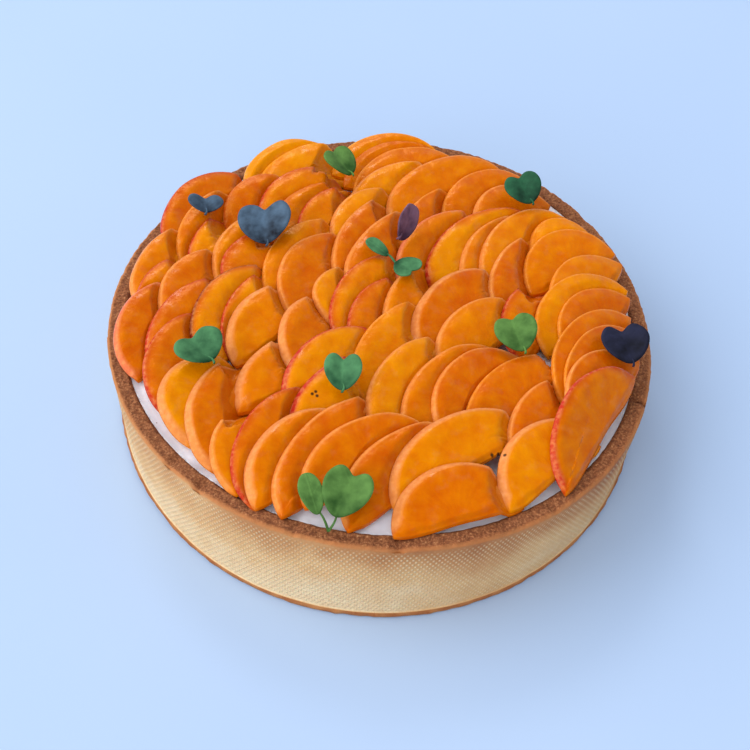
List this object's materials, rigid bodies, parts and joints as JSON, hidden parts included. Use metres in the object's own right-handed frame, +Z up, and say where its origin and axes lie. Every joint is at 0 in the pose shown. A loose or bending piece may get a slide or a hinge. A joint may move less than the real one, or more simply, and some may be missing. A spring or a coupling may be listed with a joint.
{
  "type": "fruit tart",
  "caption": "Round fruit tart: straight-sided shortcrust case filled with cream, topped with overlapping half-moon apricot slices and small leaves.",
  "frame": {"origin": "centre of the flat underside, on the surface that the tart stands on", "axes": "+Z up out of the fruit, -Y towards the viewer of the picture, +X to the viewer's right"},
  "size_m": [0.165, 0.1654, 0.0529],
  "materials": {
    "crust": "baked shortcrust, sandy and dry, with a fine diamond mesh pressed into the wall and a browner crumbly rim",
    "cream": "smooth white cream, soft satin",
    "apricot": "cut orange fruit flesh under a thin clear glaze, with pale or red skin along the curved edge",
    "green_leaf": "soft green seed leaf",
    "blue_leaf": "slate blue seed leaf",
    "purple_leaf": "dull purple seed leaf",
    "navy_leaf": "dark navy seed leaf"
  },
  "bodies": {
    "root": {"cream": "cream", "crust": "crust", "leaf_back": "green_leaf", "leaf_back_left": "blue_leaf", "leaf_back_right": "green_leaf", "leaf_left": "green_leaf", "leaf_middle": "green_leaf", "leaf_right": "green_leaf", "leaf_rim": "navy_leaf", "leaf_slate": "blue_leaf", "leaf_upright": "purple_leaf", "slice_1": "apricot", "slice_2": "apricot", "slice_3": "apricot", "slice_4": "apricot", "slice_5": "apricot", "slice_6": "apricot", "slice_7": "apricot", "slice_8": "apricot", "slice_9": "apricot", "slice_10": "apricot", "slice_11": "apricot", "slice_12": "apricot", "slice_13": "apricot", "slice_14": "apricot", "slice_15": "apricot", "slice_16": "apricot", "slice_17": "apricot", "slice_18": "apricot", "slice_19": "apricot", "slice_20": "apricot", "slice_21": "apricot", "slice_22": "apricot", "slice_23": "apricot", "slice_24": "apricot", "slice_25": "apricot", "slice_26": "apricot", "slice_27": "apricot", "slice_28": "apricot", "slice_29": "apricot", "slice_30": "apricot", "slice_31": "apricot", "slice_32": "apricot", "slice_33": "apricot", "slice_34": "apricot", "slice_35": "apricot", "slice_36": "apricot", "slice_37": "apricot", "slice_38": "apricot", "slice_39": "apricot", "slice_40": "apricot", "slice_41": "apricot", "slice_42": "apricot", "slice_43": "apricot", "slice_44": "apricot", "slice_45": "apricot", "slice_46": "apricot", "sprig_front": "green_leaf", "sprig_middle": "green_leaf"}
  },
  "joints": []
}
